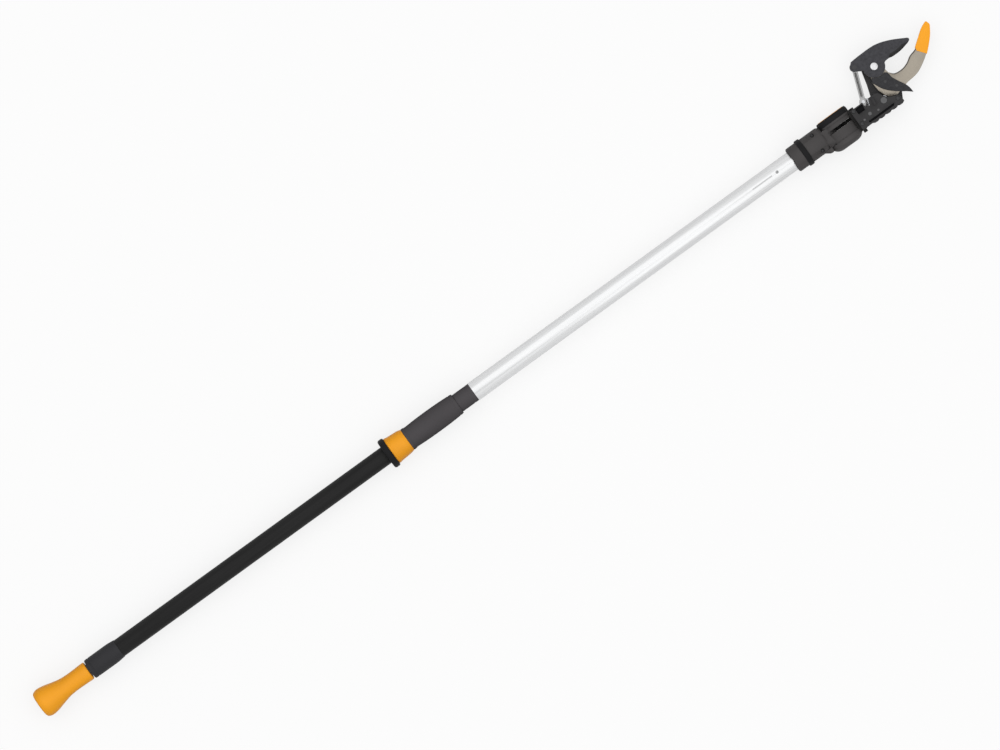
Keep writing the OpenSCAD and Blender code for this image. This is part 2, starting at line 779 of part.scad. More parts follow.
module rear_cheek() {
    color([0.09, 0.09, 0.09]) difference() {
        union() {
            plate(rear_outline, rear_z, -rear_gap);
            hole(pivot, pivot_boss_r, rear_z, -hook_t);
            for (p = jaw_rivets)
                hole(p, boss_r, rear_z, -hook_t);
        }
        hole(pivot, bolt_r + seat, 2 * rear_z, 0);
        hole(crank_c, axle_r + seat, 2 * rear_z, 0);
        for (p = concat(block_screws, [frame_post]))
            hole(p, screw_r + seat, 2 * rear_z, 0);
        for (p = jaw_rivets)
            hole(p, jaw_rivet_r + seat, 2 * rear_z, 0);
    }
}

module cheek_screws() {
    color("silver") for (p = concat(block_screws, [frame_post])) {
        hole(p, screw_r, rear_z, front_z2);
        hole(p, screw_head_r, front_z2, front_z2 + screw_head_h);
        hole(p, screw_head_r, rear_z - screw_head_h, rear_z);
    }
}

module frame_spacer() {
    color("gray") at(frame_post, -rear_gap) ring(frame_post_r, screw_r + seat, rear_gap + front_gap);
}

module cheek_studs() {
    color("silver") for (p = stud_spots)
        hole(p, stud_r, front_gap, front_z2 + stud_h);
}

module head_cord() {
    color("black") on_cord_path() translate([0, 0, head_cord_gap])
        cylinder(r = cord_r, h = cord_run - head_cord_gap - cord_d);
}

module hook() {
    color([0.8, 0.81, 0.82]) difference() {
        union() {
            plate(hook_outline, -hook_t, 0);
            hole(pivot, hook_hub_r, -hook_t, 0);
        }
        hole(pivot, bolt_r + seat, -2 * hook_t, cut);
        for (p = jaw_rivets)
            hole(p, jaw_rivet_r + seat, -2 * hook_t, cut);
    }
}

module hook_tip() {
    color("orange") difference() {
        translate([0, 0, -hook_t - tip_wall]) linear_extrude(hook_t + 2 * tip_wall)
            offset(delta = tip_wall) polygon(hook_outline);
        plate(hook_outline, -hook_t, 0);
        hole(pivot, tip_from, -2 * hook_t, hook_t);
        plate(tip_bare, -2 * hook_t, hook_t);
    }
}

module jaw_guard() {
    color([0.25, 0.25, 0.27]) difference() {
        plate(guard_outline, 0, blade_t);
        for (p = jaw_rivets)
            hole(p, jaw_rivet_r + seat, -cut, 2 * blade_t);
    }
}

module jaw_rivet_pair() {
    color("gray") for (p = jaw_rivets)
        hole(p, jaw_rivet_r, rear_z, blade_t);
}

module pivot_bolt() {
    color("white") {
        hole(pivot, bolt_r, rear_z - nut_h, blade_z2 + run);
        hole(pivot, bolt_head_d / 2, blade_z2 + run, blade_z2 + run + bolt_head_h);
    }
}

module pivot_nut() {
    color("silver") at(pivot, rear_z - nut_h) difference() {
        cylinder(d = nut_d, h = nut_h, $fn = 6);
        translate([0, 0, -cut]) cylinder(r = bolt_r + seat, h = nut_h + 2 * cut);
    }
}

module blade() {
    knuckle_r = pin_r + 4;
    color([0.26, 0.27, 0.29]) difference() {
        union() {
            plate(blade_outline, blade_z, blade_z2);
            hole(pivot, hub_r, blade_z, blade_z2);
            hole(pin_a, knuckle_r, blade_z, blade_z2);
        }
        hole(pivot, bolt_r + run, -cut, 2 * blade_z2);
        hole(pin_a, pin_r + seat, -cut, 2 * blade_z2);
    }
}

module upper_link_pin() {
    color("silver") {
        hole(pin_a, pin_r, link_z - free, blade_z2);
        hole(pin_a, rivet_cap_r, blade_z2, blade_z2 + rivet_cap_h);
    }
}

module link_bar() {
    eye_r = pin_r + 3;
    side = [link_dy, -link_dx] / norm([link_dx, link_dy]) * link_w / 2;
    color([0.75, 0.76, 0.77]) difference() {
        union() {
            plate([pin_a + side, pin_a - side, pin_b - side, pin_b + side], link_z, link_z + link_t);
            hole(pin_a, eye_r, link_z, link_z + link_t);
            hole(pin_b, eye_r, link_z, link_z + link_t);
        }
        hole(pin_a, pin_r + run, 2 * link_z, cut);
        hole(pin_b, pin_r + 3 * run, 2 * link_z, cut);
    }
}

module crank_gear() {
    pitch = 360 / crank_n;
    first = -ceil(open_deg / pitch);
    last = ceil(close_deg / pitch);
    crank_hub_r = axle_r + 4;
    eye_r = pin_r + 2.5;
    side = [arm_dy, arm_dx] / norm([arm_dx, arm_dy]) * eye_r;
    color("silver") difference() {
        union() {
            at(crank_c, gear_z) linear_extrude(gear_t)
                polygon(concat([[0, 0]], teeth(crank_n, 180 + mesh_turn, first, last)));
            hole(crank_c, crank_hub_r, arm_z, gear_z2);
            hole(pin_b, eye_r, arm_z, arm_z2);
            plate([crank_c + side, pin_b + side, pin_b - side, crank_c - side], arm_z, arm_z2);
        }
        hole(crank_c, axle_r + run, 2 * rear_z, 2 * front_z2);
        hole(pin_b, pin_r + seat, 2 * rear_z, 0);
    }
}

module lower_link_pin() {
    color("silver") hole(pin_b, pin_r, arm_z, link_z + link_t);
}

module crank_axle() {
    color("gray") {
        hole(crank_c, axle_r, rear_z, front_z2);
        hole(crank_c, axle_r + 1.5, front_z2, front_z2 + 1);
    }
}

module cord_drum() {
    color("dimgray") difference() {
        union() {
            hole(drum_c, core_r, drum_z, drum_z2);
            hole(drum_c, flange_r, drum_z, drum_z + drum_flange_t);
            hole(drum_c, flange_r, drum_z2 - drum_flange_t, drum_z2);
            hole(drum_c, drum_axle_r + 1.2, drum_z2, gear_z2);
            at(drum_c, gear_z) linear_extrude(gear_t)
                polygon(teeth(pinion_n, mesh_turn + 180 / pinion_n, 0, pinion_n - 1));
        }
        hole(drum_c, drum_axle_r + run, -cut, 2 * gear_z2);
        hole(drum_c, pocket_r, -cut, pocket_z2);
    }
}

module drum_cord() {
    wrap = 300;
    color("black") at(drum_c, groove_z) rotate([0, 0, 90 - wrap])
        rotate_extrude(angle = wrap) translate([wind_r + seat, 0]) circle(r = cord_r - seat);
}

module drum_axle() {
    color("gray") {
        hole(drum_c, drum_axle_r, pocket_z2 - run, front_z2);
        hole(drum_c, arbor_r, drum_z, pocket_z2 - run);
    }
}

// Flat spiral of the return spring, between the arbor and the drum's wall
module return_spring() {
    steps = 20;
    r1 = arbor_r + free;
    r2 = pocket_r - free - spring_t;
    count = spring_turns * steps;
    line = function (extra) [
        for (k = [0 : count])
            let (r = r1 + (r2 - r1) * k / count + extra, a = 360 * k / steps) r * [cos(a), sin(a)]];
    inner = line(0);
    outer = line(spring_t);
    color("steelblue") at(drum_c, drum_z + free) linear_extrude(pocket_z2 - drum_z - 2 * free)
        polygon(concat(inner, [for (k = [count : -1 : 0]) outer[k]]));
}

end_knob();
knob_stem();
knob_cord();
end_ferrule();
dark_tube();
joint_ferrule();
silver_tube();
tube_rivets();
cord_guide();
grip_flange();
grip_ring();
grip_sleeve();
grip_bush();
cord_carriage();
carriage_pin();
pull_cord();
housing_front();
housing_rear();
housing_screws();
socket_collar();
tilt_post();
tilt_bolt();
yoke();
tilt_cap();
bezel();
button_spring();
lock_button();
lock_stem();
front_cheek();
rear_cheek();
cheek_screws();
frame_spacer();
cheek_studs();
head_cord();
hook();
hook_tip();
jaw_guard();
jaw_rivet_pair();
pivot_bolt();
pivot_nut();
blade();
upper_link_pin();
link_bar();
crank_gear();
lower_link_pin();
crank_axle();
cord_drum();
drum_cord();
drum_axle();
return_spring();
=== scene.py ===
import math

import bmesh
import bpy
from mathutils import Matrix, Vector


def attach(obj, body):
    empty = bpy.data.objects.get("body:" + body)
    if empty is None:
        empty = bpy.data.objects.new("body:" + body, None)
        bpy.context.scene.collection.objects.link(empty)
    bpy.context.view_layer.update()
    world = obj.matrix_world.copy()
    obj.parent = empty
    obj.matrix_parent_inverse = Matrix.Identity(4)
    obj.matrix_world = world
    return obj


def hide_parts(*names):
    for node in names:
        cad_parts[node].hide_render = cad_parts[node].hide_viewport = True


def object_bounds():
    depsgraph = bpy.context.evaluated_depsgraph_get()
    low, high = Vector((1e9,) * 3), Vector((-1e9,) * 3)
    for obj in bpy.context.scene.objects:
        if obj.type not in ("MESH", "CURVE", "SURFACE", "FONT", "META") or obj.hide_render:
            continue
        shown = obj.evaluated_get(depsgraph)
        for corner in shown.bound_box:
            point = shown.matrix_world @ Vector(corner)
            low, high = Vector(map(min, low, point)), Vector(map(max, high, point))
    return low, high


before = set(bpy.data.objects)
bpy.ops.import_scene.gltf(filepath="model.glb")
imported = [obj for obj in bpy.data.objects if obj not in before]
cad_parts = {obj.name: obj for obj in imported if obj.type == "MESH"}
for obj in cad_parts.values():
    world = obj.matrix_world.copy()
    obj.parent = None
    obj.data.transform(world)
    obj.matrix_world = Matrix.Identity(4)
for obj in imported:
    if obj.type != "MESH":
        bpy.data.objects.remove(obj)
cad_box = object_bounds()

mm = 0.001

# The bench: the pruner lies on a pale table top, lit by two soft boxes and a bright room.
# The camera looks straight down, turned so that the pole climbs from lower left to upper right.
pole_turn = math.radians(-35.9)
view_middle = Vector((0.7993, -0.0027, 0.0))
view_width = 1.411
lens = 200.0
sensor = 36.0
view = bpy.data.cameras.new("bench_camera")
view.lens = lens
view.sensor_width = sensor
view.clip_end = 40.0
camera = bpy.data.objects.new("bench_camera", view)
camera.location = view_middle + Vector((0.0, 0.0, view_width * lens / sensor))
camera.rotation_euler = (0.0, 0.0, pole_turn)
bpy.context.scene.collection.objects.link(camera)
bpy.context.scene.camera = camera
bpy.context.scene.view_settings.view_transform = "Standard"


def seen_ray(tree):
    """1 for rays that show the bench itself: straight from the camera, mirrored or seen through."""
    path = tree.nodes.new("ShaderNodeLightPath")
    first = tree.nodes.new("ShaderNodeMath")
    first.operation = "MAXIMUM"
    tree.links.new(path.outputs["Is Camera Ray"], first.inputs[0])
    tree.links.new(path.outputs["Is Glossy Ray"], first.inputs[1])
    second = tree.nodes.new("ShaderNodeMath")
    second.operation = "MAXIMUM"
    tree.links.new(first.outputs[0], second.inputs[0])
    tree.links.new(path.outputs["Is Transmission Ray"], second.inputs[1])
    return second.outputs[0]


bench_side = 14.0
bench_mesh = bpy.data.meshes.new("bench_top")
half = bench_side / 2
corners = [(-half, -half), (half, -half), (half, half), (-half, half)]
bench_mesh.from_pydata([(view_middle.x + x, y, cad_box[0][2]) for x, y in corners], [], [(0, 1, 2, 3)])
bench = bpy.data.objects.new("bench_top", bench_mesh)
bpy.context.scene.collection.objects.link(bench)
bench_paint = bpy.data.materials.new("bench_paint")
bench_paint.use_nodes = True
tree = bench_paint.node_tree
matt = tree.nodes["Principled BSDF"]
matt.inputs["Roughness"].default_value = 0.9
matt.inputs["Specular IOR Level"].default_value = 0.0
seen = seen_ray(tree)
tone = tree.nodes.new("ShaderNodeMapRange")
tone.inputs["To Min"].default_value = 0.2
tone.inputs["To Max"].default_value = 0.9
tree.links.new(seen, tone.inputs["Value"])
tree.links.new(tone.outputs["Result"], matt.inputs["Base Color"])
bright = tree.nodes.new("ShaderNodeEmission")
mirrored = tree.nodes.new("ShaderNodeMath")
mirrored.operation = "MULTIPLY"
mirrored.inputs[1].default_value = 0.15
tree.links.new(seen, mirrored.inputs[0])
look = tree.nodes.new("ShaderNodeLightPath")
share = tree.nodes.new("ShaderNodeMath")
share.operation = "MULTIPLY_ADD"
share.inputs[1].default_value = 0.62
tree.links.new(look.outputs["Is Camera Ray"], share.inputs[0])
tree.links.new(mirrored.outputs[0], share.inputs[2])
blend = tree.nodes.new("ShaderNodeMixShader")
tree.links.new(share.outputs[0], blend.inputs["Fac"])
tree.links.new(matt.outputs[0], blend.inputs[1])
tree.links.new(bright.outputs[0], blend.inputs[2])
tree.links.new(blend.outputs[0], tree.nodes["Material Output"].inputs["Surface"])
bench_mesh.materials.append(bench_paint)

room = bpy.data.worlds.new("bright_room")
room.use_nodes = True
bpy.context.scene.world = room
tree = room.node_tree
ambient = tree.nodes["Background"]
ambient.inputs["Strength"].default_value = 1.22
direction = tree.nodes.new("ShaderNodeTexCoord")
split = tree.nodes.new("ShaderNodeSeparateXYZ")
tree.links.new(direction.outputs["Generated"], split.inputs[0])
rise = tree.nodes.new("ShaderNodeMapRange")
rise.inputs["From Min"].default_value = 0.0
rise.inputs["From Max"].default_value = 1.0
rise.inputs["To Min"].default_value = 0.05
rise.inputs["To Max"].default_value = 1.0
tree.links.new(split.outputs["Z"], rise.inputs["Value"])
tree.links.new(rise.outputs["Result"], ambient.inputs["Color"])
white = tree.nodes.new("ShaderNodeBackground")
white.inputs["Strength"].default_value = 1.0
white.inputs["Color"].default_value = (1.0, 1.0, 1.0, 1.0)
backdrop = tree.nodes.new("ShaderNodeMixShader")
tree.links.new(seen_ray(tree), backdrop.inputs["Fac"])
tree.links.new(ambient.outputs[0], backdrop.inputs[1])
tree.links.new(white.outputs[0], backdrop.inputs[2])
tree.links.new(backdrop.outputs[0], tree.nodes["World Output"].inputs["Surface"])


def soft_box(name, place, watts, side):
    """Square soft lamp that looks at the middle of the view."""
    lamp = bpy.data.lights.new(name, "AREA")
    lamp.energy = watts
    lamp.size = side
    holder = bpy.data.objects.new(name, lamp)
    holder.location = place
    aim = Vector((view_middle.x, view_middle.y, 0.0)) - Vector(place)
    holder.rotation_euler = aim.to_track_quat("-Z", "Y").to_euler()
    bpy.context.scene.collection.objects.link(holder)


soft_box("window_box", (0.4, 1.3, 3.8), 24.0, 4.4)
soft_box("fill_box", (1.6, -2.0, 3.2), 12.0, 3.0)

# End knob: the bell shaped pull on the butt, injection moulded in satin orange plastic.
# It is turned here from its outline, with a flat butt to stand on and a rounded shoulder.


def eased(corners, closed):
    """A turned outline (along, radius, fillet) in mm, with each corner rounded by its fillet."""
    points = []
    count = len(corners)
    for i, (a, r, fillet) in enumerate(corners):
        here = Vector((a, r))
        before = Vector(corners[i - 1][:2]) - here
        after = Vector(corners[(i + 1) % count][:2]) - here
        at_end = not closed and i in (0, count - 1)
        if fillet <= 0 or at_end or before.length < 1e-6 or after.length < 1e-6:
            points.append(here)
            continue
        reach = min(fillet, 0.49 * before.length, 0.49 * after.length)
        start = here + before.normalized() * reach
        stop = here + after.normalized() * reach
        for k in range(5):
            t = k / 4
            points.append(start * (1 - t) ** 2 + here * 2 * t * (1 - t) + stop * t ** 2)
    return points


def swept(points, per_stretch):
    """Smooth curve through points, for the flowing part of an outline."""
    curve = []
    last = len(points) - 1
    for i in range(last):
        a = Vector(points[max(i - 1, 0)])
        b = Vector(points[i])
        c = Vector(points[i + 1])
        d = Vector(points[min(i + 2, last)])
        for k in range(per_stretch):
            t = k / per_stretch
            curve.append(0.5 * (2 * b + (c - a) * t + (2 * a - 5 * b + 4 * c - d) * t ** 2
                                + (3 * b - a - 3 * c + d) * t ** 3))
    curve.append(Vector(points[last]))
    return curve


def into_object(name, bm, sharp_deg):
    """Finish a mesh: outward faces, smooth where it bends gently, and on the table."""
    bmesh.ops.recalc_face_normals(bm, faces=bm.faces)
    mesh = bpy.data.meshes.new(name)
    bm.to_mesh(mesh)
    bm.free()
    mesh.shade_smooth()
    mesh.set_sharp_from_angle(angle=math.radians(sharp_deg))
    piece = bpy.data.objects.new(name, mesh)
    bpy.context.scene.collection.objects.link(piece)
    return piece


def turned(name, outline, closed, place=None, sides=96, sharp_deg=50):
    """Turn an outline (along, radius) in mm. The place maps (along, side, up) in mm to the bench."""
    bm = bmesh.new()
    rings = []
    for a, r in outline:
        ring = []
        for k in range(sides if r > 1e-6 else 1):
            turn = 2 * math.pi * k / sides
            point = Vector((a, r * math.cos(turn), r * math.sin(turn)))
            spot = place @ point if place else point
            ring.append(bm.verts.new(spot * mm))
        rings.append(ring)
    pairs = list(zip(rings, rings[1:]))
    if closed:
        pairs.append((rings[-1], rings[0]))
    for one, two in pairs:
        for k in range(sides):
            j = (k + 1) % sides
            loop = [one[k % len(one)], one[j % len(one)], two[j % len(two)], two[k % len(two)]]
            face = list(dict.fromkeys(loop))
            if len(face) > 2:
                bm.faces.new(face)
    return into_object(name, bm, sharp_deg)


def fit(piece, body, slot, *nodes):
    """Let a piece ride with its body and stand for its solids, which it hides; its slot is not used."""
    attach(piece, body)
    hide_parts(*nodes)


def shade_of(colour, by):
    """A colour made darker or lighter, for a shader's socket."""
    return (colour[0] * by, colour[1] * by, colour[2] * by, 1.0)


def noise(tree, scale, stretch, detail):
    """Noise laid in the piece's own metres, longer along an axis where stretch is small."""
    place = tree.nodes.new("ShaderNodeTexCoord")
    lay = tree.nodes.new("ShaderNodeMapping")
    lay.inputs["Scale"].default_value = stretch
    tree.links.new(place.outputs["Object"], lay.inputs["Vector"])
    cloud = tree.nodes.new("ShaderNodeTexNoise")
    cloud.inputs["Scale"].default_value = scale
    cloud.inputs["Detail"].default_value = detail
    tree.links.new(lay.outputs["Vector"], cloud.inputs["Vector"])
    return cloud.outputs["Fac"]


def tinted(tree, shader, fac, colour, low, high):
    """Colour that wanders between a darker and a lighter shade."""
    ramp = tree.nodes.new("ShaderNodeValToRGB")
    ramp.color_ramp.elements[0].position = 0.3
    ramp.color_ramp.elements[0].color = shade_of(colour, low)
    ramp.color_ramp.elements[1].position = 0.7
    ramp.color_ramp.elements[1].color = shade_of(colour, high)
    tree.links.new(fac, ramp.inputs["Fac"])
    tree.links.new(ramp.outputs["Color"], shader.inputs["Base Color"])


def roughened(tree, shader, fac, low, high):
    """Roughness that wanders between two values."""
    span = tree.nodes.new("ShaderNodeMapRange")
    span.inputs["From Min"].default_value = 0.3
    span.inputs["From Max"].default_value = 0.7
    span.inputs["To Min"].default_value = low
    span.inputs["To Max"].default_value = high
    tree.links.new(fac, span.inputs["Value"])
    tree.links.new(span.outputs["Result"], shader.inputs["Roughness"])


def raised(tree, shader, fac, height):
    """Fine relief, with its height in metres."""
    bump = tree.nodes.new("ShaderNodeBump")
    bump.inputs["Strength"].default_value = 0.6
    bump.inputs["Distance"].default_value = height
    tree.links.new(fac, bump.inputs["Height"])
    tree.links.new(bump.outputs["Normal"], shader.inputs["Normal"])


def moulded(name, colour, rough, grain, depth, gloss):
    """Moulded plastic or rubber: faint flow marks in the colour and a fine spark-eroded grain."""
    mat = bpy.data.materials.new(name)
    mat.use_nodes = True
    tree = mat.node_tree
    shader = tree.nodes["Principled BSDF"]
    flow = noise(tree, 22.0, (0.35, 1.0, 1.0), 2.0)
    tinted(tree, shader, flow, colour, 0.9, 1.08)
    roughened(tree, shader, noise(tree, 70.0, (1.0, 1.0, 1.0), 3.0), rough - 0.06, rough + 0.06)
    raised(tree, shader, noise(tree, grain, (1.0, 1.0, 1.0), 4.0), depth)
    shader.inputs["Specular IOR Level"].default_value = gloss
    return mat


orange = (0.95, 0.385, 0.014)
orange_satin = moulded("orange_satin_plastic", orange, 0.4, 1500.0, 0.00004, 0.2)
knob_flow = swept([(2.2, 19.6), (6.5, 21.2), (12, 21.5), (20, 20.2), (27, 18.3), (36, 16.0), (45, 14.2),
                   (56, 13.5), (68, 13.65), (81, 14.1)], 6)
knob_outline = eased([(34, 0, 0), (34, 9.02, 0), (85, 9.02, 0), (85, 13.3, 0.7), (83.6, 14.1, 0.7)], False)
knob_outline += reversed(knob_flow)
knob_outline += [Vector((0.9, 18.4)), Vector((0.2, 16.4)), Vector((0, 14.0)), Vector((0, 0))]
end_knob = turned("end_knob_bell", knob_outline, False)
end_knob.data.materials.append(orange_satin)
fit(end_knob, "knob", "orange_plastic", "end_knob")

# Knob stem and knob cord: a nylon rod pressed into the knob, which slides in the end ferrule,
# and the cord of three twisted strands that ties it to the carriage under the grip.


def dress(material, *nodes):
    """Give solids that stay as they are their finish."""
    for node in nodes:
        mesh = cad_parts[node].data
        mesh.materials.clear()
        mesh.materials.append(material)


def twisted_cord(name, route, radius, lay):
    """Three-strand cord along a route in mm: a lobed section that turns once in each lay."""
    sides = 18
    bm = bmesh.new()
    last = len(route) - 1
    across = None
    gone = 0.0
    rings = []
    for i, here in enumerate(route):
        ahead = (route[min(i + 1, last)] - route[max(i - 1, 0)]).normalized()
        if across is None:
            across = ahead.orthogonal()
        else:
            gone += (here - route[i - 1]).length
        across = (across - ahead * across.dot(ahead)).normalized()
        other = ahead.cross(across)
        ring = []
        for k in range(sides):
            turn = 2 * math.pi * k / sides
            lobe = abs(math.cos(1.5 * (turn - 2 * math.pi * gone / lay)))
            reach = radius * (0.84 + 0.16 * lobe)
            out = across * math.cos(turn) + other * math.sin(turn)
            ring.append(bm.verts.new((here + out * reach) * mm))
        rings.append(ring)
    for one, two in zip(rings, rings[1:]):
        for k in range(sides):
            j = (k + 1) % sides
            bm.faces.new((one[k], one[j], two[j], two[k]))
    bm.faces.new(rings[0])
    bm.faces.new(rings[-1])
    return into_object(name, bm, 60)


def straight(start, stop, step):
    """Points in even steps from one end of a straight route to the other."""
    count = max(int((stop - start).length / step), 2)
    return [start.lerp(stop, k / count) for k in range(count + 1)]


def fibre(name, colour):
    """Twisted polyester yarn: fine hairs across the strands and a dry, rough surface."""
    mat = bpy.data.materials.new(name)
    mat.use_nodes = True
    tree = mat.node_tree
    shader = tree.nodes["Principled BSDF"]
    hairs = noise(tree, 2400.0, (0.3, 1.0, 1.0), 3.0)
    tinted(tree, shader, hairs, colour, 0.6, 1.8)
    roughened(tree, shader, hairs, 0.7, 0.95)
    raised(tree, shader, hairs, 0.00015)
    shader.inputs["Sheen Weight"].default_value = 0.2
    return mat


cord_r = 1.75
cord_lay = 11.0
cord_step = 1.3
cord_yarn = fibre("dark_cord_yarn", (0.018, 0.018, 0.019))
nylon = moulded("plain_nylon", (0.09, 0.09, 0.092), 0.5, 900.0, 0.00003, 0.4)
dress(nylon, "knob_stem")
stem_end = 160.0
carriage_near = 611.7
knob_line = straight(Vector((stem_end, 0, 0)), Vector((carriage_near, 0, 0)), cord_step)
knob_cord = twisted_cord("knob_cord_strands", knob_line, cord_r, cord_lay)
knob_cord.data.materials.append(cord_yarn)
fit(knob_cord, "knob", "cord", "knob_cord")

# End ferrule and lower tube: a black moulded ferrule is glued over the end of the tube.
# The tube is drawn aluminium with a satin black coat, slotted under the grip for the carriage pin.


def trued(bm):
    """Merge corners closer than a hundredth of a millimetre and drop the slivers this leaves."""
    bmesh.ops.remove_doubles(bm, verts=bm.verts, dist=0.01 * mm)
    wide = [face for face in bm.faces if len(face.verts) > 4]
    bmesh.ops.triangulate(bm, faces=wide)
    bmesh.ops.dissolve_degenerate(bm, dist=0.002 * mm, edges=bm.edges)
    bm.verts.index_update()
    twins = {}
    for face in bm.faces:
        twins.setdefault(frozenset(v.index for v in face.verts), []).append(face)
    folded = [face for group in twins.values() if len(group) > 1 for face in group]
    bmesh.ops.delete(bm, geom=folded, context="FACES")


def softened(name, node, edge, sharp_deg=35, shape=None, shortest=0.45):
    """A copy of a solid, its hard edges broken by a small round as a mould or a file leaves them.

    Edges under the shortest length, as round small holes, stay sharp and don't hold back the rest.
    """
    bm = bmesh.new()
    bm.from_mesh(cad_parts[node].data)
    bmesh.ops.remove_doubles(bm, verts=bm.verts, dist=1e-6)
    bmesh.ops.dissolve_limit(bm, angle_limit=math.radians(0.3), verts=bm.verts, edges=bm.edges)
    if shape:
        shape(bm)
    hard = []
    for e in bm.edges:
        long_enough = e.calc_length() > shortest * mm
        if long_enough and len(e.link_faces) == 2 and e.calc_face_angle(0.0) > math.radians(sharp_deg):
            hard.append(e)
    bmesh.ops.bevel(bm, geom=hard, offset=edge * mm, segments=2, profile=0.5, affect="EDGES",
                    clamp_overlap=True)
    trued(bm)
    return into_object(name, bm, sharp_deg)


def coated(name, colour, rough, streak, gloss):
    """Coated metal: a thin lacquer with faint lengthwise draw marks and orange peel."""
    mat = bpy.data.materials.new(name)
    mat.use_nodes = True
    tree = mat.node_tree
    shader = tree.nodes["Principled BSDF"]
    marks = noise(tree, 260.0, streak, 2.0)
    tinted(tree, shader, marks, colour, 0.82, 1.18)
    roughened(tree, shader, marks, rough - 0.05, rough + 0.07)
    raised(tree, shader, noise(tree, 700.0, (1.0, 1.0, 1.0), 2.0), 0.00003)
    shader.inputs["Specular IOR Level"].default_value = gloss
    return mat


black_mould = moulded("black_moulded_plastic", (0.013, 0.013, 0.014), 0.5, 1300.0, 0.00005, 0.09)
ferrule_corners = [(87, 9.05, 0), (87, 14.7, 0.9), (89.4, 15.2, 0.8), (92, 15.2, 0.15), (92.3, 14.75, 0.15),
                   (93.5, 14.75, 0.15), (93.8, 15.2, 0.15), (127, 15.2, 3), (138, 14.0, 0.5),
                   (138, 13.52, 0), (95, 13.52, 0), (95, 9.05, 0)]
end_ferrule = turned("end_ferrule_cap", eased(ferrule_corners, True), True)
ferrule_mould = moulded("worn_ferrule_plastic", (0.034, 0.034, 0.037), 0.5, 1300.0, 0.00005, 0.1)
end_ferrule.data.materials.append(ferrule_mould)
fit(end_ferrule, "pole", "black_plastic", "end_ferrule")
black_coat = coated("satin_black_coat", (0.017, 0.017, 0.017), 0.42, (0.03, 1.0, 1.0), 0.09)
dark_tube = softened("lower_tube", "dark_tube", 0.15)
dark_tube.data.materials.append(black_coat)
fit(dark_tube, "pole", "dark_paint_tube", "dark_tube")

# Sliding grip: a black flange that stops the hand, an orange ring and a soft rubber sleeve,
# moulded round a nylon bush. A cross pin through the tube's slot ties the bush to the carriage.
flange_corners = [(603, 15.52, 0), (603, 21.2, 1.4), (604.8, 23, 1.2), (610.4, 23, 0.8), (612, 22, 0.6),
                  (612, 15.52, 0)]
grip_flange = turned("grip_stop_flange", eased(flange_corners, True), True)
grip_flange.data.materials.append(black_mould)
fit(grip_flange, "grip", "black_plastic", "grip_flange")
ring_corners = [(612, 15.52, 0), (612, 19.9, 0.5), (613, 20.5, 0.6), (615.6, 20.4, 0.5),
                (616.3, 19.95, 0.4), (635, 18.6, 1.4), (640, 17, 0.8), (640, 15.52, 0)]
grip_ring = turned("grip_colour_ring", eased(ring_corners, True), True)
grip_ring.data.materials.append(orange_satin)
fit(grip_ring, "grip", "orange_plastic", "grip_ring")
soft_rubber = moulded("soft_grip_rubber", (0.078, 0.073, 0.077), 0.8, 620.0, 0.00014, 0.05)
sleeve_flow = swept([(648, 16.55), (664, 17.25), (683.5, 17.5), (703, 17.25), (720, 16.5)], 8)
sleeve_outline = eased([(654.02, 15.52, 0), (640, 15.52, 0), (640, 17.3, 0.6), (644, 17.3, 0.7)], False)
sleeve_outline += eased([(644, 17.3, 0), (645, 16.6, 0.5), (648, 16.55, 0)], False)[1:-1]
sleeve_outline += sleeve_flow
sleeve_outline += eased([(720, 16.5, 0), (721, 16.1, 0.3), (722.2, 16.1, 0.3), (723, 16.45, 0.3),
                         (727, 15.75, 0.7), (727, 14.3, 0), (654.02, 14.3, 0)], False)[1:]
grip_sleeve = turned("grip_rubber_sleeve", sleeve_outline, True)
grip_sleeve.data.materials.append(soft_rubber)
fit(grip_sleeve, "grip", "grip_rubber", "grip_sleeve")


def metal(name, colour, rough, scale, stretch, depth):
    """Bare metal: draw or grinding marks in tone, roughness and height."""
    mat = bpy.data.materials.new(name)
    mat.use_nodes = True
    tree = mat.node_tree
    shader = tree.nodes["Principled BSDF"]
    marks = noise(tree, scale, stretch, 3.0)
    tinted(tree, shader, marks, colour, 0.92, 1.04)
    roughened(tree, shader, marks, rough - 0.07, rough + 0.07)
    raised(tree, shader, marks, depth)
    shader.inputs["Metallic"].default_value = 1.0
    return mat


zinc = metal("zinc_plated_steel", (0.62, 0.63, 0.65), 0.34, 500.0, (1.0, 1.0, 1.0), 0.00002)
dress(nylon, "grip_bush", "cord_carriage")
dress(zinc, "carriage_pin")
carriage_far = 636.02
cord_bend = 1388.95
pull_line = straight(Vector((carriage_far, 0, 0)), Vector((cord_bend, 0, 0)), cord_step)
pull_cord = twisted_cord("pull_cord_strands", pull_line, cord_r, cord_lay)
pull_cord.data.materials.append(cord_yarn)
fit(pull_cord, "grip", "cord", "pull_cord")

# Upper tube: a black joint ferrule plugs the silver tube onto the lower one.
# The tube is drawn and satin anodised. A key fills the slot near its end, and two blind rivets
# hold the cord guide inside it.
nose_corners = [(727, 13.52, 0), (727, 13.8, 0.2), (728, 14, 0.4), (747, 14, 0.2), (747.4, 13.75, 0.2),
                (749, 13.75, 0.2), (749.4, 14, 0.2), (755, 14, 0.2), (755, 13.28, 0), (795, 13.28, 0.6),
                (795, 6.05, 0.4), (752.02, 6.05, 0), (752.02, 13.52, 0)]
joint_ferrule = turned("joint_ferrule_nose", eased(nose_corners, True), True)
joint_ferrule.data.materials.append(soft_rubber)
fit(joint_ferrule, "pole", "black_plastic", "joint_ferrule")
anodised = metal("satin_anodised_aluminium", (0.72, 0.725, 0.73), 0.28, 420.0, (0.012, 1.0, 1.0), 0.00001)
silver_tube = softened("upper_tube", "silver_tube", 0.12)
silver_tube.data.materials.append(anodised)
fit(silver_tube, "pole", "silver_aluminium", "silver_tube")
